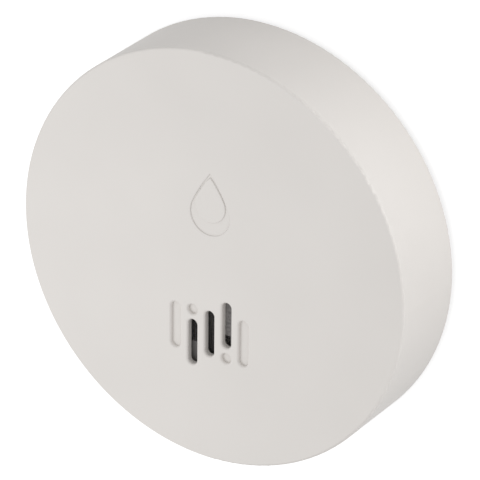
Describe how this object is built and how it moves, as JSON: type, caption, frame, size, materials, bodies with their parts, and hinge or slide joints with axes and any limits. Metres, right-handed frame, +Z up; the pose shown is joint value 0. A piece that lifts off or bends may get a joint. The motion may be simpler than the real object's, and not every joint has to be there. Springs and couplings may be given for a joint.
{
  "type": "flood sensor",
  "caption": "Round white floor-standing flood sensor with a recessed drop mark and sounder slots on its face, steel electrodes and a pairing button below",
  "frame": {"origin": "centre of the disc, on the floor", "axes": "+X right across the face, +Y towards the tip of the drop mark, +Z up out of the face"},
  "size_m": [0.08, 0.08, 0.018],
  "materials": {
    "housing_white": "fine-textured warm white moulding",
    "cover_white": "fine-textured warm white moulding",
    "seal_rubber": "black silicone",
    "screw_steel": "zinc plated steel",
    "foot_rubber": "grey elastomer",
    "probe_steel": "turned stainless steel",
    "contact_nickel": "nickel plated spring steel",
    "board_green": "green solder mask on glass laminate",
    "module_blue": "dark blue solder mask",
    "shield_tin": "formed tinned steel",
    "chip_black": "moulded epoxy",
    "coil_ferrite": "dark grey ferrite",
    "capacitor_can": "drawn aluminium can",
    "led_white": "white lead frame housing",
    "guide_clear": "clear acrylic rod",
    "sounder_black": "black moulding",
    "plate_brass": "thin rolled brass",
    "disc_ceramic": "fired piezo ceramic",
    "mesh_black": "woven black mesh",
    "foam_grey": "closed-cell grey foam",
    "holder_black": "black moulding",
    "cell_jacket": "plain shrink jacket over a steel can",
    "button_grey": "grey moulding"
  },
  "bodies": {
    "housing": {"front_housing": "housing_white", "rear_cover": "cover_white", "cover_gasket": "seal_rubber", "cover_screws": "screw_steel", "rubber_foot_1": "foot_rubber", "rubber_foot_2": "foot_rubber", "rubber_foot_3": "foot_rubber", "probe_stud_1": "probe_steel", "probe_stud_2": "probe_steel", "probe_seal_1": "seal_rubber", "probe_seal_2": "seal_rubber", "probe_nut_1": "probe_steel", "probe_nut_2": "probe_steel", "probe_spring_1": "contact_nickel", "probe_spring_2": "contact_nickel", "circuit_board": "board_green", "mounting_screws": "screw_steel", "wireless_module": "module_blue", "module_shield": "shield_tin", "controller_chip": "chip_black", "step_up_coil": "coil_ferrite", "reservoir_capacitor": "capacitor_can", "status_led": "led_white", "light_guide": "guide_clear", "buzzer_base": "sounder_black", "buzzer_case": "sounder_black", "buzzer_plate": "plate_brass", "buzzer_ceramic": "disc_ceramic", "buzzer_pins": "contact_nickel", "sound_mesh": "mesh_black", "sound_gasket": "foam_grey", "battery_holder": "holder_black", "battery_cell_1": "cell_jacket", "battery_cell_2": "cell_jacket", "battery_spring_1": "contact_nickel", "battery_spring_2": "contact_nickel", "series_contact": "contact_nickel", "positive_contact": "contact_nickel", "negative_contact": "contact_nickel", "pairing_switch": "chip_black", "button_seal": "seal_rubber"},
    "button": {"pairing_button": "button_grey", "switch_plunger": "chip_black"}
  },
  "joints": [
    {"name": "button_press", "type": "slide", "parent": "housing", "child": "button", "axis": [0, 0, 1], "range_m": [0, 0.0004], "stiffness_N_per_m": 600, "springref_m": -0.0015}
  ]
}
